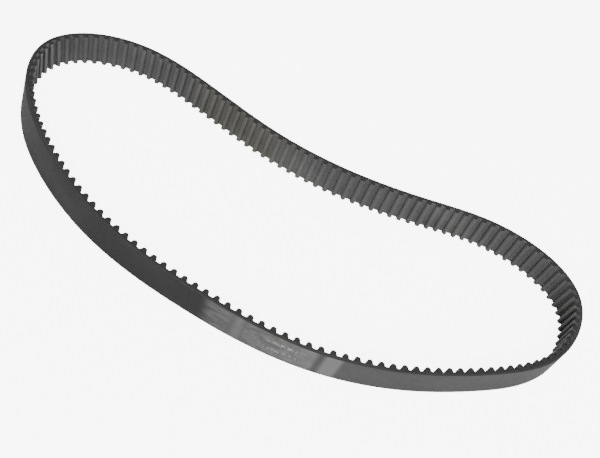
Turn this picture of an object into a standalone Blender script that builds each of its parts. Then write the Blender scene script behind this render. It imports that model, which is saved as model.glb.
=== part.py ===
"""Timing belt: an endless curvilinear-tooth belt with a 5 mm pitch, 136 teeth and a 15 mm width.

It stands on its cut edge (Z = 0) in the loose bean-shaped loop that a free belt takes up. +Z is across the
belt's width, +X runs along the loop's long way, and the origin is under the middle of the loop's box.

The moulded belt has four plies: back rubber, tensile cords, tooth rubber and a woven tooth facing. Each ply is
divided into equal sections at the lands between teeth, where the belt bends. A section turns against the next
one about an upright axis on the pitch line, and one pair of neighbours, the last and the first, only butt.
"""

import math

import bpy
import numpy as np

# Driving dimensions, in metres.
PITCH = 0.005
TOOTH_COUNT = 136
BELT_WIDTH = 0.015
LAND_THICKNESS = 0.00172  # from the back face to the land between two teeth
TOOTH_HEIGHT = 0.00208  # from the land to the crown of a tooth
PITCH_LINE_DEPTH = 0.00057  # from the land to the centre of the cords
TOOTH_FOOT = 0.00160  # half of the tooth's width where it leaves the land
TOOTH_FLANK = 0.00124  # half of its width at the top of the flanks
FLANK_HEIGHT = 0.00116
TOOTH_CROWN = 0.00062  # half of the nearly flat top
FACING_THICKNESS = 0.00020
CORD_THICKNESS = 0.00040
PLY_GAP = 0.00003  # between one ply and the next

# Sections: equal stretches of the belt, parted at the middle of a land.
SECTION_COUNT = 8
SECTION_GAP = 0.0003
ROOT_SECTION = 5  # the middle of the front strand; the other sections hang on it in two chains
FIRST_CUT = 0.0305  # along the pitch line, from the first loop point to the cut before section 1

# The pitch line's loop, clockwise from above, in millimetres. A smooth closed curve runs through these points.
LOOP_POINTS_MM = (
    (-107, 61), (-66, 55), (-25, 44), (18, 42), (60, 48), (102, 52), (138, 33), (134, -6),
    (102, -34), (63, -52), (22, -60.5), (-20, -59.5), (-62, -50), (-100, -31), (-130, -2), (-141, 38),
)
SAMPLES_PER_SPAN = 200

# Depths measured from the pitch line, positive towards the teeth.
LAND_DEPTH = PITCH_LINE_DEPTH
BACK_DEPTH = LAND_DEPTH - LAND_THICKNESS
CORD_DEPTH = CORD_THICKNESS / 2

COLLECTION_NAME = "timing_belt"
TEETH_PER_SECTION = TOOTH_COUNT // SECTION_COUNT

PLY_FINISHES = {
    "back_rubber": ((0.110, 0.110, 0.112, 1.0), 0.62),
    "tensile_cords": ((0.140, 0.120, 0.100, 1.0), 0.55),
    "tooth_rubber": ((0.030, 0.030, 0.031, 1.0), 0.70),
    "tooth_facing": ((0.155, 0.155, 0.150, 1.0), 0.75),
}


def clear_scene():
    """Remove every object, so that the script can be run again."""
    for item in list(bpy.data.objects):
        bpy.data.objects.remove(item, do_unlink=True)


def closed_spline(points):
    """Sample the closed cubic spline through the points, whose bend is continuous all the way round."""
    knots = np.asarray(points, dtype=float)
    count = len(knots)
    following = np.roll(knots, -1, axis=0)
    spans = np.hypot(*(following - knots).T)
    system = np.zeros((count, count))
    slopes = (following - knots) / spans[:, None]
    for i in range(count):
        before, after = spans[i - 1], spans[i]
        system[i, i - 1] += before
        system[i, i] += 2 * (before + after)
        system[i, (i + 1) % count] += after
    bends = np.linalg.solve(system, 6 * (slopes - np.roll(slopes, 1, axis=0)))
    samples = []
    for i in range(count):
        after = np.arange(SAMPLES_PER_SPAN)[:, None] / SAMPLES_PER_SPAN * spans[i]
        left = spans[i] - after
        start, end = bends[i], bends[(i + 1) % count]
        curve = (start * left**3 + end * after**3) / (6 * spans[i])
        curve += (knots[i] / spans[i] - start * spans[i] / 6) * left
        curve += (following[i] / spans[i] - end * spans[i] / 6) * after
        samples.append(curve)
    return np.vstack(samples)


def land_points():
    """Give the pitch line's points at the middle of each land, and its direction there.

    The loop is scaled so that the pitch line holds the whole number of pitches exactly, and it is moved so that
    the box of the belt's back is centred on the origin.
    """
    samples = closed_spline(LOOP_POINTS_MM)
    closed = np.vstack([samples, samples[:1]])
    travelled = np.concatenate([[0.0], np.cumsum(np.hypot(*np.diff(closed, axis=0).T))])
    length = PITCH * TOOTH_COUNT
    scale = length / travelled[-1]
    closed, travelled = closed * scale, travelled * scale

    def along(distance):
        wrapped = np.mod(distance, length)
        return np.column_stack([np.interp(wrapped, travelled, closed[:, axis]) for axis in (0, 1)])

    distances = FIRST_CUT + PITCH * np.arange(TOOTH_COUNT)
    ahead = along(distances + PITCH / 10) - along(distances - PITCH / 10)
    directions = ahead / np.linalg.norm(ahead, axis=1)[:, None]
    lands = along(distances)
    back = np.array([land + inward(way) * BACK_DEPTH for land, way in zip(lands, directions)])
    return lands - (back.max(axis=0) + back.min(axis=0)) / 2, directions


def inward(direction):
    """Turn a direction of travel into the direction towards the inside of the loop."""
    return np.array([direction[1], -direction[0]])


def tooth_profile(inset):
    """Give one pitch of the toothed face, from the first land's middle to just before the next one's.

    Each point is (distance along the belt from the middle of the tooth, depth), moved by inset towards the back.
    """
    outline = [
        (-PITCH / 2, 0.0),
        (-TOOTH_FOOT, 0.0),
        (-TOOTH_FLANK, FLANK_HEIGHT),
        (-TOOTH_CROWN, TOOTH_HEIGHT),
        (TOOTH_CROWN, TOOTH_HEIGHT),
        (TOOTH_FLANK, FLANK_HEIGHT),
        (TOOTH_FOOT, 0.0),
        (PITCH / 2, 0.0),
    ]
    moved = [(outline[0][0], -inset)]
    for before, here, after in zip(outline, outline[1:], outline[2:]):
        moved.append(mitred(before, here, after, inset))
    return [(along, LAND_DEPTH + height) for along, height in moved]


def mitred(before, here, after, inset):
    """Move a corner so that both of its sides move by inset towards the back."""
    before, here, after = (np.array(point) for point in (before, here, after))
    first = (here - before) / np.linalg.norm(here - before)
    second = (after - here) / np.linalg.norm(after - here)
    normal_1 = np.array([first[1], -first[0]])
    normal_2 = np.array([second[1], -second[0]])
    shared = normal_1 + normal_2
    return here + shared * inset / (shared @ normal_1)


def section_face(lands, directions, section, profile):
    """Lay one pitch's profile along a section, and give the points from its first cut to its last.

    Args are the land points, the directions there, the section's number from 1, and (along, depth) pairs that
    start at a land's middle. A profile of one point is a plain face.
    """
    first = (section - 1) * TEETH_PER_SECTION
    points = []
    for tooth in range(first, first + TEETH_PER_SECTION):
        here, there = lands[tooth], lands[(tooth + 1) % TOOTH_COUNT]
        element = (there - here) / np.linalg.norm(there - here)
        trim = SECTION_GAP / 2 if tooth == first else 0.0
        points.append(here + directions[tooth] * trim + inward(directions[tooth]) * profile[0][1])
        for along, depth in profile[1:]:
            points.append((here + there) / 2 + element * along + inward(element) * depth)
    last = (first + TEETH_PER_SECTION) % TOOTH_COUNT
    ending = lands[last] - directions[last] * SECTION_GAP / 2
    points.append(ending + inward(directions[last]) * profile[0][1])
    return points


def ply_faces():
    """Give each ply's face towards the teeth and its face towards the back, as profiles over one pitch."""
    facing_back = FACING_THICKNESS
    rubber_face = FACING_THICKNESS + PLY_GAP
    return {
        "back_rubber": ([(0.0, -CORD_DEPTH - PLY_GAP)], [(0.0, BACK_DEPTH)]),
        "tensile_cords": ([(0.0, CORD_DEPTH)], [(0.0, -CORD_DEPTH)]),
        "tooth_rubber": (tooth_profile(rubber_face), [(0.0, CORD_DEPTH + PLY_GAP)]),
        "tooth_facing": (tooth_profile(0.0), tooth_profile(facing_back)),
    }


def ply_material(ply):
    """Make the ply's material."""
    colour, roughness = PLY_FINISHES[ply]
    material = bpy.data.materials.new(ply)
    material.use_nodes = True
    shader = material.node_tree.nodes["Principled BSDF"]
    shader.inputs["Base Color"].default_value = colour
    shader.inputs["Roughness"].default_value = roughness
    shader.inputs["Metallic"].default_value = 0.0
    material.diffuse_color = colour
    return material


def ply_outline(name, points, pivot, material):
    """Extrude a closed outline over the belt's width, with the object's origin on its section's pivot."""
    curve = bpy.data.curves.new(name, "CURVE")
    curve.dimensions = "2D"
    curve.fill_mode = "BOTH"
    curve.extrude = BELT_WIDTH / 2
    spline = curve.splines.new("POLY")
    spline.points.add(len(points) - 1)
    for point, (x, y) in zip(spline.points, points):
        point.co = (x - pivot[0], y - pivot[1], 0.0, 1.0)
    spline.use_cyclic_u = True
    curve.materials.append(material)
    return bpy.data.objects.new(name, curve)


def section_pivots(lands):
    """Give the point that each section turns about: its cut towards the root section."""
    pivots = {}
    for section in range(1, SECTION_COUNT + 1):
        if section <= ROOT_SECTION:
            cut = section * TEETH_PER_SECTION
        else:
            cut = (section - 1) * TEETH_PER_SECTION
        pivots[section] = lands[cut % TOOTH_COUNT]
    return pivots


def build_section(section, lands, directions, pivot, materials, collection):
    """Make one section: an empty on its pivot that carries the four plies."""
    holder = bpy.data.objects.new(f"section_{section:02d}", None)
    holder.empty_display_size = PITCH
    collection.objects.link(holder)
    holder.location = (pivot[0], pivot[1], 0.0)
    for ply, (toothed, back) in ply_faces().items():
        points = section_face(lands, directions, section, toothed)
        points += reversed(section_face(lands, directions, section, back))
        piece = ply_outline(f"{ply}_{section:02d}", points, pivot, materials[ply])
        collection.objects.link(piece)
        piece.parent = holder
        piece.location = (0.0, 0.0, BELT_WIDTH / 2)
    return holder


def chain_sections(holders, pivots):
    """Hang each section's empty on its neighbour towards the root section."""
    for section, holder in holders.items():
        if section == ROOT_SECTION:
            continue
        carrier = section + (1 if section < ROOT_SECTION else -1)
        holder.parent = holders[carrier]
        step = pivots[section] - pivots[carrier]
        holder.location = (step[0], step[1], 0.0)


def main():
    """Build the whole belt."""
    clear_scene()
    collection = bpy.data.collections.new(COLLECTION_NAME)
    bpy.context.scene.collection.children.link(collection)
    lands, directions = land_points()
    pivots = section_pivots(lands)
    materials = {ply: ply_material(ply) for ply in PLY_FINISHES}
    holders = {}
    for section in range(1, SECTION_COUNT + 1):
        holders[section] = build_section(
            section, lands, directions, pivots[section], materials, collection
        )
    chain_sections(holders, pivots)
    bpy.context.view_layer.update()


main()
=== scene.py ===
"""Looks of a toothed timing belt that stands on its cut edge in a loose loop.

The belt is a bonded laminate of four plies: back rubber with a printed band, tensile cords, tooth rubber and a
woven tooth facing. Each ply is a set of spans. A span runs from the middle of one rigid section of the frame to
the middle of the next, across the hinge between them; only the two spans at the open cut are hung on a section.
"""

import logging
import math
from dataclasses import dataclass, field
from enum import Enum
from typing import Iterable, Optional, Union

import bpy
import numpy as np
from mathutils import Matrix, Vector


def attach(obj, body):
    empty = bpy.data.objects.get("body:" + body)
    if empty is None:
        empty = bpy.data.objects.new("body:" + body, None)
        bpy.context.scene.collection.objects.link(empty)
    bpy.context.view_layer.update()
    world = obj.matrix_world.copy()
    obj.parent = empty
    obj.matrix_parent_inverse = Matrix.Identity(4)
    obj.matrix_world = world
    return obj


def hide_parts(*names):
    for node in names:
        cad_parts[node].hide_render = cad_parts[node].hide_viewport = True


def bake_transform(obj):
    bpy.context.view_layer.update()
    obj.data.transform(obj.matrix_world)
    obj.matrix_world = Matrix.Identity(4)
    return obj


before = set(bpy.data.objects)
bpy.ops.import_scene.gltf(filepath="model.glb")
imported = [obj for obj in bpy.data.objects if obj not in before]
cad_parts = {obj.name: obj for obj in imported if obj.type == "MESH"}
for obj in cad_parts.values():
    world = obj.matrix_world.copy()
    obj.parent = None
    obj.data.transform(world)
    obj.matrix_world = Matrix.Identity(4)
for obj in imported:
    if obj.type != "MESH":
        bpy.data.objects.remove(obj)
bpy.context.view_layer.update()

PLACE = "belt_place"  # vertex attribute: along the belt, across its width, and depth from the pitch line, in metres
MM = 0.001

LOG = logging.getLogger("timing_belt")
Socket = bpy.types.NodeSocket
Feed = Union[bpy.types.NodeSocket, float, tuple]
Colour = tuple[float, float, float]


class Ply(Enum):
    """The four plies, by the name that starts their CAD nodes and their pieces' names."""

    BACK_RUBBER = "back_rubber"
    TENSILE_CORDS = "tensile_cords"
    TOOTH_RUBBER = "tooth_rubber"
    TOOTH_FACING = "tooth_facing"


# ----------------------------------------------------------------------
# Node graphs


class Graph:
    """A node tree that is being wired up."""

    def __init__(self, tree: bpy.types.NodeTree) -> None:
        """Take the tree that the nodes go in."""
        self.tree = tree

    def add(self, kind: str, inputs: Optional[dict] = None, **settings: object) -> bpy.types.Node:
        """Add a node.

        Args:
            kind: the node's type name.
            inputs: what feeds each input, by name or index: a socket, or a value for the input itself.
            settings: attributes of the node.

        Returns:
            The new node.
        """
        node = self.tree.nodes.new(kind)
        for name, value in settings.items():
            setattr(node, name, value)
        for name, value in (inputs or {}).items():
            self.feed(node.inputs[name], value)
        return node

    def feed(self, socket: Socket, value: Feed) -> None:
        """Link a socket to another one, or set its value."""
        if isinstance(value, bpy.types.NodeSocket):
            self.tree.links.new(value, socket)
        else:
            socket.default_value = value

    def math(self, operation: str, *values: Feed, clamp: bool = False) -> Socket:
        """Add a Math node.

        Args:
            operation: the node's operation.
            values: its inputs, in order.
            clamp: whether the result stays between 0 and 1.

        Returns:
            The result's socket.
        """
        node = self.add("ShaderNodeMath", dict(enumerate(values)), operation=operation, use_clamp=clamp)
        return node.outputs[0]

    def mix(self, factor: Feed, first: Feed, second: Feed) -> Socket:
        """Mix two colours by a factor, and give the result's socket."""
        node = self.add("ShaderNodeMix", data_type="RGBA")
        for index, value in ((0, factor), (6, first), (7, second)):
            if isinstance(value, tuple) and len(value) == 3:
                value = (*value, 1.0)
            self.feed(node.inputs[index], value)
        return node.outputs[2]

    def blend(self, factor: Feed, first: Feed, second: Feed) -> Socket:
        """Mix two numbers by a factor, and give the result's socket."""
        node = self.add("ShaderNodeMix", {0: factor, 2: first, 3: second}, data_type="FLOAT")
        return node.outputs[0]

    def ramp(self, value: Feed, low: float, high: float) -> Socket:
        """Give a smooth step from 0 at low to 1 at high."""
        node = self.add(
            "ShaderNodeMapRange", {0: value, 1: low, 2: high, 3: 0.0, 4: 1.0}, interpolation_type="SMOOTHSTEP"
        )
        return node.outputs[0]

    def noise(self, place: Feed, scale: Feed, detail: float = 4.0, stretch: Colour = (1, 1, 1)) -> Socket:
        """Give a noise over the belt.

        Args:
            place: the coordinates.
            scale: cells per metre.
            detail: how many finer layers it has.
            stretch: how much each coordinate is multiplied first.

        Returns:
            The noise's socket, from 0 to 1.
        """
        moved = self.add("ShaderNodeVectorMath", {0: place, 1: stretch}, operation="MULTIPLY").outputs[0]
        node = self.add("ShaderNodeTexNoise", {"Vector": moved, "Scale": scale, "Detail": detail})
        return node.outputs["Fac"]

    def belt_place(self) -> Socket:
        """Give the place on the belt, as Place is in every effect."""
        return self.add("ShaderNodeAttribute", attribute_name=PLACE).outputs["Vector"]

    def parts(self, vector: Feed) -> tuple[Socket, Socket, Socket]:
        """Split a vector into its three numbers."""
        node = self.add("ShaderNodeSeparateXYZ", {0: vector})
        return node.outputs[0], node.outputs[1], node.outputs[2]

    def window(self, value: Feed, low: float, high: float, soft: float) -> Socket:
        """Give 1 between low and high and 0 outside, over a soft edge."""
        rise = self.ramp(value, low - soft, low + soft)
        fall = self.math("SUBTRACT", 1.0, self.ramp(value, high - soft, high + soft))
        return self.math("MULTIPLY", rise, fall)


class EffectGroup:
    """A shader node group that several finishes share."""

    name = ""
    inputs: tuple[tuple[str, str, float], ...] = ()
    outputs: tuple[tuple[str, str], ...] = ()

    def tree(self) -> bpy.types.NodeTree:
        """Give the group's tree, built the first time that it is asked for."""
        found = bpy.data.node_groups.get(self.name)
        if found:
            return found
        tree = bpy.data.node_groups.new(self.name, "ShaderNodeTree")
        for label, kind, start in self.inputs:
            socket = tree.interface.new_socket(label, in_out="INPUT", socket_type=kind)
            if kind == "NodeSocketFloat":
                socket.default_value = start
        for label, kind in self.outputs:
            tree.interface.new_socket(label, in_out="OUTPUT", socket_type=kind)
        graph = Graph(tree)
        source = graph.add("NodeGroupInput").outputs
        sink = graph.add("NodeGroupOutput")
        for label, socket in self.wire(graph, source).items():
            graph.feed(sink.inputs[label], socket)
        return tree

    def wire(self, graph: Graph, source: bpy.types.NodeOutputs) -> dict[str, Socket]:
        """Add the group's nodes, and give what feeds each output."""
        raise NotImplementedError

    def put(self, graph: Graph, **values: Feed) -> bpy.types.NodeOutputs:
        """Place the group in a material.

        Args:
            graph: the material's graph.
            values: what feeds each input, with _ for a space in its name.

        Returns:
            The group's outputs.
        """
        node = graph.add("ShaderNodeGroup", node_tree=self.tree())
        for name, value in values.items():
            graph.feed(node.inputs[name.replace("_", " ")], value)
        return node.outputs


class RubberGrain(EffectGroup):
    """Fine pitting and soft mottling of moulded rubber, drawn out along the belt by grinding."""

    name = "Rubber grain"
    inputs = (
        ("Place", "NodeSocketVector", 0.0),
        ("Grain", "NodeSocketFloat", 0.0002),
        ("Drawn out", "NodeSocketFloat", 1.0),
    )
    outputs = (("Mottle", "NodeSocketFloat"), ("Pits", "NodeSocketFloat"), ("Height", "NodeSocketFloat"))
    coarse_cells = 260.0  # per metre, as every number of cells is
    coarse_share = 0.6
    pitted = (0.42, 0.68)

    def wire(self, graph: Graph, source: bpy.types.NodeOutputs) -> dict[str, Socket]:
        """Add two sizes of noise, the finer one stretched along the belt."""
        along, across, depth = graph.parts(source["Place"])
        slowed = graph.math("DIVIDE", along, source["Drawn out"])
        place = graph.add("ShaderNodeCombineXYZ", {0: slowed, 1: across, 2: depth}).outputs[0]
        scale = graph.math("DIVIDE", 1.0, source["Grain"])
        fine = graph.noise(place, scale, detail=5.0)
        coarse = graph.noise(source["Place"], self.coarse_cells, detail=3.0)
        pits = graph.ramp(fine, *self.pitted)
        height = graph.math("ADD", fine, graph.math("MULTIPLY", coarse, self.coarse_share))
        return {"Mottle": coarse, "Pits": pits, "Height": height}


class CutEdge(EffectGroup):
    """The two cut edges: where they are, and the fine marks that the slitting knife left along them."""

    name = "Cut edge"
    inputs = (
        ("Place", "NodeSocketVector", 0.0),
        ("Width", "NodeSocketFloat", 0.015),
        ("Reach", "NodeSocketFloat", 0.0001),
    )
    outputs = (("Edge", "NodeSocketFloat"), ("Wear", "NodeSocketFloat"), ("Height", "NodeSocketFloat"))
    edge_fade = (0.15, 0.6)  # in reaches from the edge, as the wear's is
    wear_fade = (1.0, 6.0)
    worn_cells = 900.0
    worn_parts = (0.45, 0.75)
    knife_cells = 5200.0

    def wire(self, graph: Graph, source: bpy.types.NodeOutputs) -> dict[str, Socket]:
        """Measure how near a point is to either edge, and lay long scratches on the cut."""
        across = graph.parts(source["Place"])[1]
        other = graph.math("SUBTRACT", source["Width"], across)
        near = graph.math("MINIMUM", across, other)
        share = graph.math("DIVIDE", near, source["Reach"])
        edge = graph.math("SUBTRACT", 1.0, graph.ramp(share, *self.edge_fade))
        broken = graph.noise(source["Place"], self.worn_cells, detail=3.0, stretch=(0.4, 1, 1))
        lightened = graph.math("SUBTRACT", 1.0, graph.ramp(share, *self.wear_fade))
        wear = graph.math("MULTIPLY", lightened, graph.ramp(broken, *self.worn_parts))
        marks = graph.noise(source["Place"], self.knife_cells, detail=2.0, stretch=(0.12, 1, 1))
        return {"Edge": edge, "Wear": wear, "Height": marks}


class Weave(EffectGroup):
    """A plain weave of crimped threads, with the warp along the belt and the weft across it."""

    name = "Weave"
    inputs = (("Place", "NodeSocketVector", 0.0), ("Thread", "NodeSocketFloat", 0.0003))
    outputs = (("Crown", "NodeSocketFloat"), ("Gap", "NodeSocketFloat"), ("Height", "NodeSocketFloat"))
    climb = 0.85  # how far the warp runs on for each metre up a tooth
    weft_share = 0.9
    crossing = 0.5
    gap_fade = (0.25, 0.7)

    def wire(self, graph: Graph, source: bpy.types.NodeOutputs) -> dict[str, Socket]:
        """Cross two sets of ribs, each one high where the other dips under it."""
        along, across, depth = graph.parts(source["Place"])
        # The cloth follows the teeth, so that depth counts as length along the warp.
        run = graph.math("ADD", along, graph.math("MULTIPLY", graph.math("ABSOLUTE", depth), self.climb))
        turn = graph.math("DIVIDE", math.pi, source["Thread"])
        warp_phase = graph.math("MULTIPLY", across, turn)
        weft_phase = graph.math("MULTIPLY", run, turn)
        warp = graph.math("ABSOLUTE", graph.math("SINE", warp_phase))
        weft = graph.math("ABSOLUTE", graph.math("SINE", weft_phase))
        over = graph.math("MULTIPLY", graph.math("COSINE", warp_phase), graph.math("COSINE", weft_phase))
        up = graph.ramp(over, -self.crossing, self.crossing)
        crown = graph.blend(up, graph.math("MULTIPLY", weft, self.weft_share), warp)
        # the hollows between the threads, where the facing gets painted shade
        gap = graph.math("SUBTRACT", 1.0, graph.ramp(graph.math("MAXIMUM", warp, weft), *self.gap_fade))
        return {"Crown": crown, "Gap": gap, "Height": crown}


class Dust(EffectGroup):
    """Pale handling dust and faint rub marks, in loose patches."""

    name = "Dust"
    inputs = (("Place", "NodeSocketVector", 0.0), ("Amount", "NodeSocketFloat", 0.2))
    outputs = (("Film", "NodeSocketFloat"), ("Specks", "NodeSocketFloat"))
    patch_cells = 45.0
    patchy = (0.4, 0.72)
    speck_cells = 1500.0
    speckled = (0.68, 0.76)

    def wire(self, graph: Graph, source: bpy.types.NodeOutputs) -> dict[str, Socket]:
        """Lay a broad film and small specks."""
        broad = graph.noise(source["Place"], self.patch_cells, detail=5.0, stretch=(0.5, 1, 1))
        patches = graph.ramp(broad, *self.patchy)
        film = graph.math("MULTIPLY", patches, source["Amount"])
        dots = graph.ramp(graph.noise(source["Place"], self.speck_cells, detail=2.0), *self.speckled)
        return {"Film": film, "Specks": graph.math("MULTIPLY", dots, source["Amount"])}


class PrintedBand(EffectGroup):
    """The printed stretch of the back: an end block, a bare bar, two rows of dashes, a pale patch and rub streaks."""

    name = "Printed band"
    inputs = (
        ("Place", "NodeSocketVector", 0.0),
        ("Start", "NodeSocketFloat", 0.0),
        ("Dash", "NodeSocketFloat", 0.0009),
    )
    outputs = (("Ground", "NodeSocketFloat"), ("Ink", "NodeSocketFloat"))
    block = (0.0, 6.7 * MM)  # each stretch runs from its first distance to its second, measured from the start
    print_ground = (9.8 * MM, 40.0 * MM)
    dashes = (15.5 * MM, 30.0 * MM)
    patch = (39.9 * MM, 44.6 * MM)
    streaks = (45.2 * MM, 56.8 * MM)
    row_height = 1.9 * MM
    rows = ((5.3 * MM, 0.9), (10.3 * MM, 1.0))  # height of each row's middle above the lower edge, and its strength
    row_soft = 0.45 * MM
    soft = 1.2 * MM
    patch_soft = 2.4 * MM
    streak_soft = 3.0 * MM
    dash_soft = 6.0 * MM
    block_tone = 0.92
    ground_tones = (0.28, 0.72)
    ground_lift = 0.30  # how much paler the ground is where it starts
    patch_tones = (0.42, 0.86)
    streak_tones = (0.26, 0.62)
    bare_share = 0.35  # of the dashes

    def wire(self, graph: Graph, source: bpy.types.NodeOutputs) -> dict[str, Socket]:
        """Measure along the band from its start, and draw each stretch by its place."""
        place = source["Place"]
        run = graph.math("SUBTRACT", graph.parts(place)[0], source["Start"])
        blotches = graph.noise(place, 520.0, detail=5.0, stretch=(0.55, 1, 1))
        rubbed = graph.noise(place, 620.0, detail=4.0, stretch=(0.18, 1, 1))
        block = graph.math("MULTIPLY", graph.window(run, *self.block, self.soft), self.block_tone)
        lift = graph.blend(graph.ramp(run, self.print_ground[0], self.dashes[1]), self.ground_lift, 0.0)
        mottled = graph.math("ADD", lift, graph.blend(graph.ramp(blotches, 0.36, 0.66), *self.ground_tones))
        ground = graph.math("MULTIPLY", graph.window(run, *self.print_ground, self.soft), mottled)
        cloudy = graph.blend(blotches, *self.patch_tones)
        patch = graph.math("MULTIPLY", graph.window(run, *self.patch, self.patch_soft), cloudy)
        lines = graph.blend(graph.ramp(rubbed, 0.40, 0.64), *self.streak_tones)
        streaks = graph.math("MULTIPLY", graph.window(run, *self.streaks, self.streak_soft), lines)
        tone = graph.math("MAXIMUM", graph.math("MAXIMUM", block, ground), graph.math("MAXIMUM", patch, streaks))
        return {"Ground": tone, "Ink": self._rows(graph, source, run)}

    def _rows(self, graph: Graph, source: bpy.types.NodeOutputs, run: Socket) -> Socket:
        """Lay the two rows of flaked dashes.

        Args:
            graph: the group's graph.
            source: the group's inputs.
            run: the distance from the band's start.

        Returns:
            The rows' socket, from 0 to 1.
        """
        across = graph.parts(source["Place"])[1]
        cell = graph.math("FLOOR", graph.math("DIVIDE", run, source["Dash"]))
        ink: Feed = 0.0
        for number, (height, strength) in enumerate(self.rows):
            seed = graph.math("ADD", cell, 31.7 * (number + 1))
            chance = graph.add("ShaderNodeTexWhiteNoise", {"W": seed}, noise_dimensions="1D").outputs["Value"]
            dash = graph.math("GREATER_THAN", chance, self.bare_share)
            row = graph.window(across, height - self.row_height / 2, height + self.row_height / 2, self.row_soft)
            ink = graph.math("ADD", ink, graph.math("MULTIPLY", graph.math("MULTIPLY", dash, row), strength))
        flaked = graph.ramp(graph.noise(source["Place"], 1100.0, detail=5.0), 0.44, 0.60)
        inked = graph.math("MULTIPLY", flaked, graph.window(run, *self.dashes, self.dash_soft))
        return graph.math("MULTIPLY", ink, inked)


# ----------------------------------------------------------------------
# Finishes


def new_finish(name: str, roughness: float, specular: float) -> tuple[bpy.types.Material, Graph, bpy.types.Node]:
    """Make a material with its own Principled shader.

    Args:
        name: the material's name.
        roughness: the shader's roughness where nothing feeds it.
        specular: the shader's specular level.

    Returns:
        The material, its graph and the shader node.
    """
    material = bpy.data.materials.new(name)
    material.use_nodes = True
    shader = material.node_tree.nodes["Principled BSDF"]
    shader.inputs["Roughness"].default_value = roughness
    shader.inputs["Specular IOR Level"].default_value = specular
    return material, Graph(material.node_tree), shader


def bumped(graph: Graph, shader: bpy.types.Node, height: Feed, relief: float) -> None:
    """Feed a height of so many metres to the shader's normal."""
    bump = graph.add("ShaderNodeBump", {"Height": height, "Distance": relief, "Strength": 1.0})
    graph.feed(shader.inputs["Normal"], bump.outputs["Normal"])


@dataclass(frozen=True)
class BackRubberFinish:
    """Ground black rubber with a printed band."""

    width: float
    print_start: float
    colour: Colour = (0.046, 0.046, 0.0465)
    far_colour: Colour = (0.009, 0.009, 0.0095)
    far_reach: tuple[float, float] = (46.5 * MM, 58 * MM)
    far_end: tuple[float, float] = (605 * MM, 665 * MM)
    edge_colour: Colour = (0.034, 0.034, 0.034)
    pit_colour: Colour = (0.010, 0.010, 0.010)
    band_colour: Colour = (0.128, 0.129, 0.128)
    ink_colour: Colour = (0.300, 0.304, 0.300)
    dust_colour: Colour = (0.110, 0.109, 0.104)
    roughness: float = 0.56
    grain: float = 0.16 * MM
    relief: float = 0.03 * MM
    dust: float = 0.12
    mottle: float = 0.30
    ink: float = 0.75
    wear: float = 0.35

    def material(self) -> bpy.types.Material:
        """Build the material."""
        material, graph, shader = new_finish("Ground back rubber", self.roughness, 0.32)
        place = graph.belt_place()
        grain = RubberGrain().put(graph, Place=place, Grain=self.grain, Drawn_out=3.0)
        cut = CutEdge().put(graph, Place=place, Width=self.width)
        dust = Dust().put(graph, Place=place, Amount=self.dust)
        printed = PrintedBand().put(graph, Place=place, Start=self.print_start)
        along = graph.parts(place)[0]
        far_from, far_full = (self.print_start + reach for reach in self.far_reach)
        beyond = graph.math("SUBTRACT", graph.ramp(along, far_from, far_full), graph.ramp(along, *self.far_end))
        colour = graph.mix(beyond, self.colour, self.far_colour)
        colour = graph.mix(graph.math("MULTIPLY", grain["Mottle"], self.mottle), colour, self.pit_colour)
        colour = graph.mix(dust["Film"], colour, self.dust_colour)
        colour = graph.mix(printed["Ground"], colour, self.band_colour)
        colour = graph.mix(graph.math("MULTIPLY", printed["Ink"], self.ink, clamp=True), colour, self.ink_colour)
        colour = graph.mix(graph.math("MULTIPLY", cut["Wear"], self.wear), colour, self.dust_colour)
        colour = graph.mix(cut["Edge"], colour, self.edge_colour)
        graph.feed(shader.inputs["Base Color"], colour)
        rough = graph.blend(grain["Pits"], self.roughness - 0.06, self.roughness + 0.14)
        rough = graph.blend(cut["Edge"], rough, 0.78)
        graph.feed(shader.inputs["Roughness"], rough)
        height = graph.blend(cut["Edge"], grain["Height"], cut["Height"])
        bumped(graph, shader, height, self.relief)
        return material


@dataclass(frozen=True)
class ToothRubberFinish:
    """Moulded black rubber, seen only where the knife has cut it."""

    width: float
    colour: Colour = (0.022, 0.022, 0.022)
    scuff_colour: Colour = (0.070, 0.070, 0.069)
    roughness: float = 0.72
    grain: float = 0.12 * MM
    relief: float = 0.04 * MM
    scuffing: float = 0.45

    def material(self) -> bpy.types.Material:
        """Build the material."""
        material, graph, shader = new_finish("Cut tooth rubber", self.roughness, 0.35)
        place = graph.belt_place()
        grain = RubberGrain().put(graph, Place=place, Grain=self.grain, Drawn_out=1.6)
        cut = CutEdge().put(graph, Place=place, Width=self.width)
        scuffs = graph.math("MULTIPLY", graph.ramp(cut["Height"], 0.5, 0.75), self.scuffing)
        graph.feed(shader.inputs["Base Color"], graph.mix(scuffs, self.colour, self.scuff_colour))
        rough = graph.blend(grain["Pits"], self.roughness - 0.08, self.roughness + 0.12)
        graph.feed(shader.inputs["Roughness"], rough)
        bumped(graph, shader, graph.math("ADD", grain["Height"], cut["Height"]), self.relief)
        return material


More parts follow.
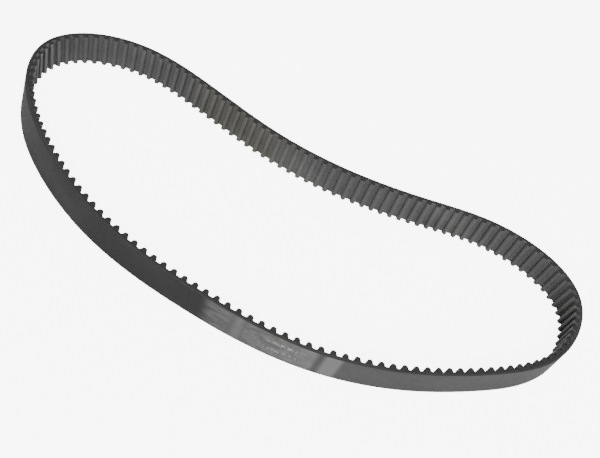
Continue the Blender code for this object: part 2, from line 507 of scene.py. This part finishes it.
@dataclass(frozen=True)
class CordFinish:
    """Dark treated glass cord, cut along its lay at the belt's edges."""

    width: float
    colour: Colour = (0.020, 0.019, 0.018)
    strand_colour: Colour = (0.060, 0.055, 0.048)
    roughness: float = 0.6
    grain: float = 0.10 * MM
    relief: float = 0.05 * MM
    lay_length: float = 1.4 * MM
    lay_slant: float = 2.2
    bared_cells: float = 22.0

    def material(self) -> bpy.types.Material:
        """Build the material."""
        material, graph, shader = new_finish("Treated glass cord", self.roughness, 0.4)
        place = graph.belt_place()
        grain = RubberGrain().put(graph, Place=place, Grain=self.grain, Drawn_out=5.0)
        cut = CutEdge().put(graph, Place=place, Width=self.width)
        along, _, depth = graph.parts(place)
        slant = graph.math("ADD", along, graph.math("MULTIPLY", depth, self.lay_slant))
        twist = graph.math("ABSOLUTE", graph.math("SINE", graph.math("MULTIPLY", slant, math.pi / self.lay_length)))
        bared = graph.ramp(graph.noise(place, self.bared_cells, detail=1.0), 0.48, 0.6)
        shown = graph.math("MULTIPLY", graph.math("MULTIPLY", twist, bared), cut["Edge"])
        graph.feed(shader.inputs["Base Color"], graph.mix(shown, self.colour, self.strand_colour))
        rough = graph.blend(grain["Pits"], self.roughness - 0.08, self.roughness + 0.1)
        graph.feed(shader.inputs["Roughness"], rough)
        bumped(graph, shader, graph.math("ADD", twist, grain["Height"]), self.relief)
        return material


@dataclass(frozen=True)
class ToothFacingFinish:
    """Woven polyamide cloth, pressed into the mould and darkened by the rubber behind it, with painted shade on its
    tooth flanks and painted light over two stretches.
    """

    width: float
    warm: tuple[float, float]
    # depths where the tooth flanks get painted shade
    flank: tuple[float, float]
    # stretches along the belt where the facing gets painted light
    lightened: tuple[tuple[float, float], ...]
    colour: Colour = (0.066, 0.066, 0.0655)
    # the colour of the painted light over those stretches
    painted_light_colour: Colour = (0.170, 0.170, 0.168)
    warm_colour: Colour = (0.070, 0.068, 0.056)
    # the colour of the painted shade on the tooth flanks
    painted_flank_shade_colour: Colour = (0.024, 0.024, 0.024)
    # painted shade between the threads of the weave, and the dark of the mottle
    weave_shade_and_mottle_colour: Colour = (0.020, 0.020, 0.020)
    edge_colour: Colour = (0.016, 0.016, 0.016)
    dust_colour: Colour = (0.190, 0.188, 0.180)
    roughness: float = 0.66
    thread: float = 0.28 * MM
    grain: float = 0.30 * MM
    relief: float = 0.06 * MM
    dust: float = 0.25
    flank_shade: float = 0.85
    flank_soft: float = 0.22 * MM
    stretch_soft: float = 12 * MM
    gap_shade: float = 0.55
    mottle: float = 0.3

    def material(self) -> bpy.types.Material:
        """Build the material."""
        material, graph, shader = new_finish("Woven tooth facing", self.roughness, 0.42)
        shader.inputs["Sheen Weight"].default_value = 0.12
        shader.inputs["Sheen Roughness"].default_value = 0.5
        place = graph.belt_place()
        weave = Weave().put(graph, Place=place, Thread=self.thread)
        grain = RubberGrain().put(graph, Place=place, Grain=self.grain, Drawn_out=1.0)
        cut = CutEdge().put(graph, Place=place, Width=self.width)
        dust = Dust().put(graph, Place=place, Amount=self.dust)
        along, _, depth = graph.parts(place)
        warmth = graph.window(along, *self.warm, self.stretch_soft)
        colour = graph.mix(warmth, self.colour, self.warm_colour)
        # Painted light: over these stretches the facing is made paler, as where its teeth catch the light.
        for stretch in self.lightened:
            colour = graph.mix(graph.window(along, *stretch, self.stretch_soft), colour, self.painted_light_colour)
        # Painted shade: the tooth flanks, between these depths, are darkened towards a near-black colour as if they
        # lay in shadow.
        flank = graph.window(depth, *self.flank, self.flank_soft)
        colour = graph.mix(graph.math("MULTIPLY", flank, self.flank_shade), colour, self.painted_flank_shade_colour)
        # Painted shade in the hollows between the threads; the mottle below darkens towards the same colour.
        colour = graph.mix(graph.math("MULTIPLY", weave["Gap"], self.gap_shade), colour, self.weave_shade_and_mottle_colour)
        colour = graph.mix(graph.math("MULTIPLY", grain["Mottle"], self.mottle), colour, self.weave_shade_and_mottle_colour)
        colour = graph.mix(dust["Film"], colour, self.dust_colour)
        colour = graph.mix(dust["Specks"], colour, self.dust_colour)
        colour = graph.mix(cut["Edge"], colour, self.edge_colour)
        graph.feed(shader.inputs["Base Color"], colour)
        rough = graph.blend(weave["Crown"], self.roughness + 0.12, self.roughness - 0.06)
        graph.feed(shader.inputs["Roughness"], rough)
        bumped(graph, shader, graph.blend(cut["Edge"], weave["Height"], cut["Height"]), self.relief)
        return material


# ----------------------------------------------------------------------
# The belt's shape


@dataclass
class PitchLine:
    """The smooth closed line at the middle of the cords, clockwise from above."""

    points_mm: tuple[tuple[float, float], ...]
    pitch: float
    tooth_count: int
    first_cut: float
    back_depth: float
    width: float
    leans: tuple[tuple[float, float], ...]
    sways: tuple[tuple[float, float], ...]
    samples_per_span: int = 200
    points: np.ndarray = field(init=False)
    inwards: np.ndarray = field(init=False)
    travelled: np.ndarray = field(init=False)

    def __post_init__(self) -> None:
        """Sample the line, scale it to a whole number of pitches, and centre the back's box on the origin."""
        samples = self._spline()
        closed = np.vstack([samples, samples[:1]])
        travelled = np.concatenate([[0.0], np.cumsum(np.hypot(*np.diff(closed, axis=0).T))])
        scale = self.length / travelled[-1]
        self.points, self.travelled = closed * scale, travelled * scale
        ahead = np.roll(samples, -1, axis=0) - np.roll(samples, 1, axis=0)
        ahead /= np.linalg.norm(ahead, axis=1)[:, None]
        inwards = np.column_stack([ahead[:, 1], -ahead[:, 0]])
        self.inwards = np.vstack([inwards, inwards[:1]])
        stations = self.pitch * np.arange(self.tooth_count)
        back = self.beside(stations, np.full(self.tooth_count, self.back_depth))
        self.points = self.points - (back.max(axis=0) + back.min(axis=0)) / 2

    @property
    def length(self) -> float:
        """The pitch length of the whole belt."""
        return self.pitch * self.tooth_count

    def _spline(self) -> np.ndarray:
        """Sample the closed cubic spline through the points, whose bend is continuous all the way round."""
        knots = np.asarray(self.points_mm, dtype=float)
        count = len(knots)
        following = np.roll(knots, -1, axis=0)
        spans = np.hypot(*(following - knots).T)
        system = np.zeros((count, count))
        slopes = (following - knots) / spans[:, None]
        for i in range(count):
            system[i, i - 1] += spans[i - 1]
            system[i, i] += 2 * (spans[i - 1] + spans[i])
            system[i, (i + 1) % count] += spans[i]
        bends = np.linalg.solve(system, 6 * (slopes - np.roll(slopes, 1, axis=0)))
        samples = []
        for i in range(count):
            after = np.arange(self.samples_per_span)[:, None] / self.samples_per_span * spans[i]
            left = spans[i] - after
            start, end = bends[i], bends[(i + 1) % count]
            curve = (start * left**3 + end * after**3) / (6 * spans[i])
            curve += (knots[i] / spans[i] - start * spans[i] / 6) * left
            curve += (following[i] / spans[i] - end * spans[i] / 6) * after
            samples.append(curve)
        return np.vstack(samples)

    def _eased(self, along: np.ndarray, stations: tuple[tuple[float, float], ...]) -> np.ndarray:
        """Give a value that eases from each station to the next, all the way round the belt."""
        (first, first_value), (last, last_value) = stations[0], stations[-1]
        closed = [(last - self.length, last_value), *stations, (first + self.length, first_value)]
        wrapped = np.mod(along, self.length)
        values = np.zeros(len(along))
        for (start, here), (end, there) in zip(closed, closed[1:]):
            inside = (wrapped >= start) & (wrapped < end)
            share = (wrapped[inside] - start) / (end - start)
            values[inside] = here + (there - here) * share**2 * (3 - 2 * share)
        return values

    def beside(self, along: np.ndarray, offset: np.ndarray) -> np.ndarray:
        """Give points at so many distances along the line, each one square to it by its offset."""
        wrapped = np.mod(self.first_cut + along, self.length)
        point = np.column_stack([np.interp(wrapped, self.travelled, self.points[:, axis]) for axis in (0, 1)])
        normal = np.column_stack([np.interp(wrapped, self.travelled, self.inwards[:, axis]) for axis in (0, 1)])
        normal /= np.linalg.norm(normal, axis=1)[:, None]
        return point + normal * offset[:, None]

    def place(self, along: np.ndarray, depth: Union[np.ndarray, float], height: float) -> np.ndarray:
        """Give points in the plane of the loop, with the belt's small lean and sway.

        Args:
            along: distances along the pitch line from the first cut, in metres.
            depth: distances from the pitch line, positive towards the teeth.
            height: how far above the lower edge the points are.

        Returns:
            One x, y row for each distance.
        """
        lean = self._eased(along, self.leans) * (height - self.width / 2)
        return self.beside(along, depth + lean + self._eased(along, self.sways))


@dataclass(frozen=True)
class ToothForm:
    """A tall round-topped tooth: a crown arc, short flanks and a root fillet on each side."""

    pitch: float
    height: float = 2.08 * MM
    crown_radius: float = 1.22 * MM
    root_radius: float = 0.55 * MM
    flank_lean: float = 0.05 * MM
    crown_steps: int = 9
    root_steps: int = 6

    def outline(self, inset: float) -> np.ndarray:
        """Give one pitch of the form, from the middle of a land to just before the middle of the next one.

        Args:
            inset: how far the whole form is moved towards the back, square to itself.

        Returns:
            Rows of distance from the tooth's middle and height above the land.
        """
        crown_centre = self.height - self.crown_radius
        crown = self.crown_radius - inset
        root = self.root_radius + inset
        root_centre = self.crown_radius + self.flank_lean + self.root_radius
        turn = np.linspace(math.pi / 2, 0.0, self.crown_steps)
        top = np.column_stack([crown * np.cos(turn), crown_centre + crown * np.sin(turn)])
        turn = np.linspace(math.pi, 1.5 * math.pi, self.root_steps)
        foot = np.column_stack([root_centre + root * np.cos(turn), self.root_radius + root * np.sin(turn)])
        right = np.vstack([top, foot])
        left = right[:0:-1] * np.array([-1.0, 1.0])
        return np.vstack([[(-self.pitch / 2, -inset)], left, right])


@dataclass(frozen=True)
class Span:
    """A stretch of belt between the middles of two sections, and the bodies that it lies across."""

    number: int
    first_land: int
    last_land: int
    bodies: tuple[str, ...]
    stands_for: int
    cut_back: tuple[float, float] = (0.0, 0.0)

    @property
    def teeth(self) -> range:
        """The teeth of the span, by the land before each."""
        return range(self.first_land, self.last_land)


@dataclass(frozen=True)
class Faces:
    """The two faces of a strip: the distance along the belt and the depth of each station on both."""

    front_along: np.ndarray
    front_depth: np.ndarray
    back_along: np.ndarray
    back_depth: np.ndarray

    def cut_back(self, start: float, end: float) -> "Faces":
        """Move the first and the last stations in by so many metres, and give the faces."""
        for along in (self.front_along, self.back_along):
            along[0] += start
            along[-1] -= end
        return self


@dataclass
class PlyMesh:
    """A closed strip of one ply, made station by station along the belt."""

    line: PitchLine
    width: float
    rounding_steps: int = 5
    sharp_turn: float = math.radians(32)  # an edge that turns by more than this stays sharp

    def rings(self, faces: Faces, rounding: tuple[float, float], inner_lines: int) -> tuple[np.ndarray, np.ndarray]:
        """Give the vertices around the strip at each station.

        Args:
            faces: the two faces of the strip, station by station.
            rounding: the radius of the cut edges of the front face, and of the back face.
            inner_lines: how many lines run along a rounded face between its two edges.

        Returns:
            The vertices, and the place attribute of each, both by station and then round the strip.
        """
        front_z, front_in = self._edge_steps(rounding[0], inner_lines)
        back_z, back_in = self._edge_steps(rounding[1], inner_lines)
        ring = [(z, faces.front_along, faces.front_depth - inset) for z, inset in zip(front_z, front_in)]
        ring += [(z, faces.back_along, faces.back_depth + inset) for z, inset in zip(back_z[::-1], back_in[::-1])]
        points, places = [], []
        for z, along, depth in ring:
            height = np.full(len(along), z)
            points.append(np.column_stack([self.line.place(along, depth, z), height]))
            places.append(np.column_stack([along, height, depth]))
        return np.stack(points, axis=1), np.stack(places, axis=1)

    def _edge_steps(self, radius: float, inner_lines: int) -> tuple[np.ndarray, np.ndarray]:
        """Give the heights of the lines along a face, and how far each one is rounded back."""
        if not radius:
            return np.array([0.0, self.width]), np.zeros(2)
        turn = np.linspace(0.0, math.pi / 2, self.rounding_steps)
        rise, inset = radius * (1 - np.cos(turn)), radius * (1 - np.sin(turn))
        middle = np.linspace(radius, self.width - radius, inner_lines + 2)[1:-1]
        heights = np.concatenate([rise, middle, self.width - rise[::-1]])
        return heights, np.concatenate([inset, np.zeros(inner_lines), inset[::-1]])

    def build(self, name: str, points: np.ndarray, places: np.ndarray) -> bpy.types.Object:
        """Make the strip's mesh object.

        Args:
            name: the object's name.
            points: vertices by station and then round the strip.
            places: the place attribute in the same order.

        Returns:
            The new object, in the scene.
        """
        stations, around = points.shape[:2]
        faces = []
        for station in range(stations - 1):
            here, there = station * around, (station + 1) * around
            for k in range(around):
                nxt = (k + 1) % around
                faces.append((here + k, here + nxt, there + nxt, there + k))
        faces.append(tuple(range(around))[::-1])
        faces.append(tuple((stations - 1) * around + k for k in range(around)))
        mesh = bpy.data.meshes.new(name)
        mesh.from_pydata(points.reshape(-1, 3).tolist(), [], faces)
        attribute = mesh.attributes.new(PLACE, "FLOAT_VECTOR", "POINT")
        attribute.data.foreach_set("vector", places.reshape(-1).astype(np.float32))
        mesh.shade_smooth()
        mesh.set_sharp_from_angle(angle=self.sharp_turn)
        mesh.update()
        item = bpy.data.objects.new(name, mesh)
        bpy.context.scene.collection.objects.link(item)
        return item


@dataclass
class BeltPly:
    """One ply of the belt: what its faces follow, and the piece of each span."""

    strip: PlyMesh
    form: ToothForm
    land_depth: float
    ply: Ply = field(init=False)
    rounding: tuple[float, float] = (0.0, 0.0)  # of the cut edges of the face towards the teeth, and of the other
    inner_lines: int = 0
    steps_per_pitch: int = 8

    def faces(self, span: Span) -> Faces:
        """Give the ply's two faces over a span."""
        raise NotImplementedError

    def piece(self, span: Span, material: bpy.types.Material) -> bpy.types.Object:
        """Make the ply's piece for a span and dress it; a span with one body is hung on that body.

        Args:
            span: the stretch of belt.
            material: the ply's finish.

        Returns:
            The finished piece.
        """
        name = f"{self.ply.value}_span_{span.number}"
        faces = self.faces(span).cut_back(*span.cut_back)
        points, places = self.strip.rings(faces, self.rounding, self.inner_lines)
        item = self.strip.build(name, points, places)
        item.data.materials.append(material)
        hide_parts(f"{self.ply.value}_{span.stands_for:02d}")
        if len(span.bodies) == 1:
            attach(item, span.bodies[0])
        else:
            start, end = (self.middle(land) for land in (span.first_land, span.last_land))
            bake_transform(item)
        return item

    def middle(self, land: int) -> tuple[float, float, float]:
        """Give the point on the pitch line at a land, half-way up the belt."""
        x, y = self.strip.line.beside(np.array([land * self.form.pitch]), np.zeros(1))[0]
        return float(x), float(y), self.strip.width / 2

    def toothed_stations(self, span: Span, inset: float) -> tuple[np.ndarray, np.ndarray]:
        """Give distances and depths along a face that follows the teeth, ending on the last land."""
        outline = self.form.outline(inset)
        along = [(tooth + 0.5) * self.form.pitch + outline[:, 0] for tooth in span.teeth]
        along.append(np.array([span.last_land * self.form.pitch]))
        heights = np.concatenate([np.tile(outline[:, 1], len(span.teeth)), [-inset]])
        return np.concatenate(along), self.land_depth + heights

    def plain_stations(self, span: Span) -> np.ndarray:
        """Give evenly spaced distances along a plain face."""
        count = len(span.teeth) * self.steps_per_pitch + 1
        return np.linspace(span.first_land * self.form.pitch, span.last_land * self.form.pitch, count)


@dataclass
class BackRubber(BeltPly):
    """The smooth outer ply, whose back is ground to thickness."""

    outer_depth: float = 0.0
    inner_depth: float = 0.0
    rounding: tuple[float, float] = (0.0, 0.10 * MM)
    inner_lines: int = 9
    ripple: float = 0.012 * MM
    ply: Ply = field(init=False, default=Ply.BACK_RUBBER)

    def faces(self, span: Span) -> Faces:
        """Give a plain strip whose back dips very slightly over each tooth, as a moulded belt's does."""
        along = self.plain_stations(span)
        dip = self.ripple * (1 - np.cos(2 * math.pi * along / self.form.pitch))
        return Faces(along, np.full(len(along), self.inner_depth), along.copy(), self.outer_depth + dip)


@dataclass
class TensileCords(BeltPly):
    """The layer of cords on the pitch line."""

    thickness: float = 0.0
    ply: Ply = field(init=False, default=Ply.TENSILE_CORDS)

    def faces(self, span: Span) -> Faces:
        """Give a plain strip centred on the pitch line."""
        along = self.plain_stations(span)
        half = np.full(len(along), self.thickness / 2)
        return Faces(along, half, along.copy(), -half)


@dataclass
class ToothRubber(BeltPly):
    """The moulded teeth and the web that joins them."""

    facing: float = 0.0
    web_back: float = 0.0
    ply: Ply = field(init=False, default=Ply.TOOTH_RUBBER)

    def faces(self, span: Span) -> Faces:
        """Give teeth that fill the facing."""
        along, depth = self.toothed_stations(span, self.facing)
        return Faces(along, depth, along.copy(), np.full(len(along), self.web_back))


@dataclass
class ToothFacing(BeltPly):
    """The woven cloth over the teeth and lands."""

    thickness: float = 0.0
    rounding: tuple[float, float] = (0.05 * MM, 0.0)
    inner_lines: int = 9
    ply: Ply = field(init=False, default=Ply.TOOTH_FACING)

    def faces(self, span: Span) -> Faces:
        """Give a cloth of even thickness, whose two faces turn together round the teeth."""
        return Faces(*self.toothed_stations(span, 0.0), *self.toothed_stations(span, self.thickness))


@dataclass
class TimingBelt:
    """The whole belt: its driving sizes, its plies and its spans."""

    pitch: float = 5.0 * MM
    tooth_count: int = 136
    width: float = 15.0 * MM
    land_thickness: float = 1.72 * MM
    pitch_line_depth: float = 0.57 * MM
    facing_thickness: float = 0.20 * MM
    cord_thickness: float = 0.40 * MM
    ply_gap: float = 0.01 * MM
    end_clearance: float = 0.004 * MM
    section_count: int = 8
    half_section: int = 8  # teeth from a section's start to its middle land
    print_start: float = 373.2 * MM  # distances along the belt start at the open cut
    warm_stretch: tuple[float, float] = (8.0 * MM, 62.0 * MM)
    painted_flank_shade_depths: tuple[float, float] = (0.95 * MM, 2.15 * MM)  # from the pitch line, the depths where the tooth facing's flanks get painted shade
    # stretches along the belt where the tooth facing gets painted light
    painted_light_stretches: tuple[tuple[float, float], ...] = ((240.0 * MM, 290.0 * MM), (575.0 * MM, 604.0 * MM))
    loop_points_mm: tuple[tuple[float, float], ...] = (
        (-107, 61), (-66, 55), (-25, 44), (18, 42), (60, 48), (102, 52), (138, 33), (134, -6),
        (102, -34), (63, -52), (22, -60.5), (-20, -59.5), (-62, -50), (-100, -31), (-130, -2), (-141, 38),
    )
    first_cut: float = 30.5 * MM
    leans: tuple[tuple[float, float], ...] = (  # distance along, and how far in at the top per metre of height
        (25 * MM, -0.14), (200 * MM, -0.12), (255 * MM, 0.04), (380 * MM, -0.045), (435 * MM, 0.02), (540 * MM, 0.20),
        (640 * MM, -0.11),
    )
    sways: tuple[tuple[float, float], ...] = (  # distance along, and how far in from the pitch line's own place
        (30 * MM, 0.2 * MM), (115 * MM, 0.9 * MM), (200 * MM, -0.5 * MM), (280 * MM, 0.3 * MM), (380 * MM, -1.1 * MM),
        (440 * MM, 0.4 * MM), (490 * MM, 0.0), (530 * MM, 0.4 * MM), (572 * MM, -0.2 * MM), (608 * MM, 0.8 * MM),
        (630 * MM, 0.3 * MM), (664 * MM, 1.1 * MM),
    )

    def spans(self) -> Iterable[Span]:
        """Give the spans: half a section at each side of the open cut, and one over each hinge."""
        per_section = self.tooth_count // self.section_count
        yield Span(0, 0, self.half_section, ("section_01",), 1, (self.end_clearance, 0.0))
        for hinge in range(1, self.section_count):
            first = (hinge - 1) * per_section + self.half_section
            pair = (f"section_{hinge:02d}", f"section_{hinge + 1:02d}")
            yield Span(hinge, first, first + per_section, pair, hinge + 1)
        last = (self.section_count - 1) * per_section + self.half_section
        last_body = f"section_{self.section_count:02d}"
        ends = (0.0, self.end_clearance)
        yield Span(self.section_count, last, self.tooth_count, (last_body,), self.section_count, ends)

    def plies(self) -> list[tuple[BeltPly, bpy.types.Material]]:
        """Give the four plies with their finishes."""
        back_depth = self.pitch_line_depth - self.land_thickness
        line = PitchLine(
            self.loop_points_mm, self.pitch, self.tooth_count, self.first_cut, back_depth, self.width,
            self.leans, self.sways,
        )
        strip = PlyMesh(line, self.width)
        form = ToothForm(self.pitch)
        common = {"strip": strip, "form": form, "land_depth": self.pitch_line_depth}
        cord_face = self.cord_thickness / 2 + self.ply_gap
        back = BackRubber(**common, outer_depth=line.back_depth, inner_depth=-cord_face)
        cords = TensileCords(**common, thickness=self.cord_thickness)
        teeth = ToothRubber(**common, facing=self.facing_thickness + self.ply_gap, web_back=cord_face)
        facing = ToothFacing(**common, thickness=self.facing_thickness)
        return [
            (back, BackRubberFinish(self.width, self.print_start).material()),
            (cords, CordFinish(self.width).material()),
            (teeth, ToothRubberFinish(self.width).material()),
            (facing, ToothFacingFinish(
                self.width, self.warm_stretch, self.painted_flank_shade_depths, self.painted_light_stretches
            ).material()),
        ]

    def build(self) -> None:
        """Make every piece of the belt."""
        for ply, material in self.plies():
            for span in self.spans():
                item = ply.piece(span, material)
                LOG.info("%s: %d vertices on %s", item.name, len(item.data.vertices), " and ".join(span.bodies))


# ----------------------------------------------------------------------
# The studio


@dataclass(frozen=True)
class SoftLight:
    """A square soft box that points at the middle of the belt."""

    name: str
    place: tuple[float, float, float]
    size: float
    power: float

    def build(self) -> bpy.types.Object:
        """Make the lamp."""
        lamp = bpy.data.lights.new(self.name, "AREA")
        lamp.shape = "SQUARE"
        lamp.size = self.size
        lamp.energy = self.power
        item = bpy.data.objects.new(self.name, lamp)
        item.location = self.place
        item.rotation_euler = (-Vector(self.place)).to_track_quat("-Z", "Y").to_euler()
        bpy.context.scene.collection.objects.link(item)
        return item


@dataclass(frozen=True)
class Studio:
    """The floor, the lights and the camera."""

    target: tuple[float, float, float] = (0.00643, 0.00692, 0.0)
    distance: float = 0.31375
    elevation: float = math.radians(46.77)
    heading: float = math.radians(-0.16)
    roll: float = math.radians(25.42)
    lens: float = 40.11
    floor_size: float = 6.0
    floor_colour: Colour = (0.86, 0.86, 0.86)
    floor_glow: float = 7.0
    surround: tuple[float, float] = (0.42, 0.55)
    lights: tuple[SoftLight, ...] = (
        SoftLight("front_box", (0.10, -1.1, 0.75), 0.7, 19.0),
        SoftLight("right_box", (1.0, -0.5, 0.5), 0.6, 4.0),
        SoftLight("overhead_box", (0.0, 0.1, 1.1), 0.8, 2.5),
    )

    def build(self) -> None:
        """Make the floor, the surround, the lamps and the camera."""
        self._floor()
        self._surround()
        for light in self.lights:
            light.build()
        self._camera()

    def _floor(self) -> None:
        """Lay a plain pale floor under the belt, lit from below as a light table is."""
        bpy.ops.mesh.primitive_plane_add(size=self.floor_size, location=(0, 0, 0))
        floor = bpy.context.object
        floor.name = "floor"
        material, graph, shader = new_finish("Pale floor", 0.9, 0.1)
        shader.inputs["Base Color"].default_value = (*self.floor_colour, 1.0)
        shader.inputs["Emission Color"].default_value = (1.0, 1.0, 1.0, 1.0)
        seen = graph.add("ShaderNodeLightPath").outputs["Is Camera Ray"]
        graph.feed(shader.inputs["Emission Strength"], graph.math("MULTIPLY", seen, self.floor_glow))
        floor.data.materials.append(material)

    def _surround(self) -> None:
        """Fill the room with white light that is dimmer on the belt's left."""
        world = bpy.data.worlds.new("surround")
        world.use_nodes = True
        graph = Graph(world.node_tree)
        direction = graph.parts(graph.add("ShaderNodeTexCoord").outputs["Generated"])[0]
        share = graph.ramp(direction, -1.0, 0.6)
        graph.feed(world.node_tree.nodes["Background"].inputs["Strength"], graph.blend(share, *self.surround))
        world.node_tree.nodes["Background"].inputs["Color"].default_value = (1.0, 1.0, 1.0, 1.0)
        bpy.context.scene.world = world

    def _camera(self) -> None:
        """Set the camera on its line to the target, turned about that line by the roll."""
        level = Vector((math.cos(self.heading), math.sin(self.heading), 0.0))
        away = Vector((-math.sin(self.heading), math.cos(self.heading), 0.0))
        rise = Vector((0.0, 0.0, 1.0))
        forward = away * math.cos(self.elevation) - rise * math.sin(self.elevation)
        upright = away * math.sin(self.elevation) + rise * math.cos(self.elevation)
        right = level * math.cos(self.roll) + upright * math.sin(self.roll)
        up = upright * math.cos(self.roll) - level * math.sin(self.roll)
        data = bpy.data.cameras.new("camera")
        data.lens = self.lens
        data.sensor_width = 36.0
        data.clip_start = 0.01
        camera = bpy.data.objects.new("camera", data)
        turned = Matrix((right, up, -forward)).transposed().to_4x4()
        camera.matrix_world = Matrix.Translation(Vector(self.target) - forward * self.distance) @ turned
        bpy.context.scene.collection.objects.link(camera)
        bpy.context.scene.camera = camera


def main() -> None:
    """Build the studio and the belt."""
    logging.basicConfig(level=logging.INFO, format="%(name)s: %(message)s")
    Studio().build()
    TimingBelt().build()


if __name__ == "__main__":
    main()
